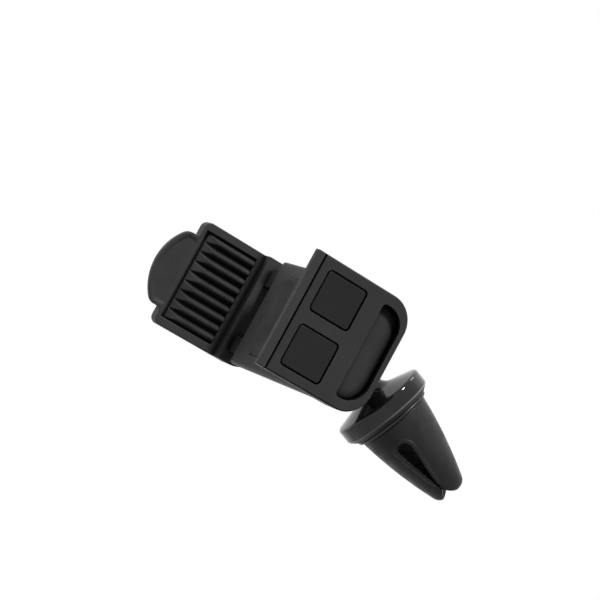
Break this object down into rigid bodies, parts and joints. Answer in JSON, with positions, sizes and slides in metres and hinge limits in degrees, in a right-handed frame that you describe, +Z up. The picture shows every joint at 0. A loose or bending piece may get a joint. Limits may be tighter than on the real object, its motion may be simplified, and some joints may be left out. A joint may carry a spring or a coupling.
{
  "type": "car phone holder",
  "caption": "Clamp phone holder with two padded jaws, a sliding jaw with a finger tab, and a ball joint on a rubber clip for an air vent blade.",
  "frame": {"origin": "middle of the rest pad's face, where the back of a phone lies", "axes": "+X along the opening of the jaws towards the fixed jaw, +Y back towards the vent, +Z up along the held phone"},
  "size_m": [0.0748, 0.086, 0.038],
  "materials": {
    "jaw_plastic": "fine satin texture",
    "cover_plastic": "satin",
    "inlay_plastic": "satin, a little darker than the cover",
    "pad_rubber": "matte, ribbed",
    "housing_plastic": "satin",
    "slide_plastic": "smooth",
    "liner_plastic": "smooth",
    "gloss_black": "polished",
    "trim": "polished thin ring",
    "core_plastic": "smooth",
    "boot_rubber": "matte",
    "steel": "plated"
  },
  "bodies": {
    "vent_clip": {"clip_boot": "boot_rubber", "clip_core": "core_plastic"},
    "stud": {"ball_stud": "gloss_black", "trim_ring": "trim", "clip_screw": "steel"},
    "liner": {"ball_liner": "liner_plastic"},
    "cradle": {"front_shell": "housing_plastic", "back_shell": "housing_plastic", "rest_pad": "pad_rubber", "housing_screws": "steel", "socket_ring": "housing_plastic", "right_jaw_frame": "jaw_plastic", "right_jaw_cover": "cover_plastic", "right_jaw_pad": "pad_rubber", "right_upper_inlay": "inlay_plastic", "right_lower_inlay": "inlay_plastic", "right_jaw_screws": "steel", "upper_spring": "steel", "lower_spring": "steel"},
    "left_jaw": {"left_jaw_frame": "jaw_plastic", "left_jaw_cover": "cover_plastic", "left_jaw_pad": "pad_rubber", "left_upper_inlay": "inlay_plastic", "left_lower_inlay": "inlay_plastic", "left_jaw_screws": "steel", "slide_frame": "slide_plastic"}
  },
  "joints": [
    {"name": "clip_spin", "type": "hinge", "parent": "vent_clip", "child": "stud", "pos_m": [0, 0.0141, 0], "axis": [0.3064, 0.8751, -0.3746], "continuous": true},
    {"name": "ball_tilt", "type": "hinge", "parent": "stud", "child": "liner", "pos_m": [0, 0.0141, 0], "axis": [-0.774, 0, -0.6332], "range_deg": [-5, 63]},
    {"name": "ball_turn", "type": "hinge", "parent": "liner", "child": "cradle", "pos_m": [0, 0.0141, 0], "axis": [0, 1, 0], "continuous": true},
    {"name": "jaw_slide", "type": "slide", "parent": "cradle", "child": "left_jaw", "axis": [1, 0, 0], "range_m": [-0.013, 0.009], "deforming": ["upper_spring", "lower_spring"]}
  ]
}
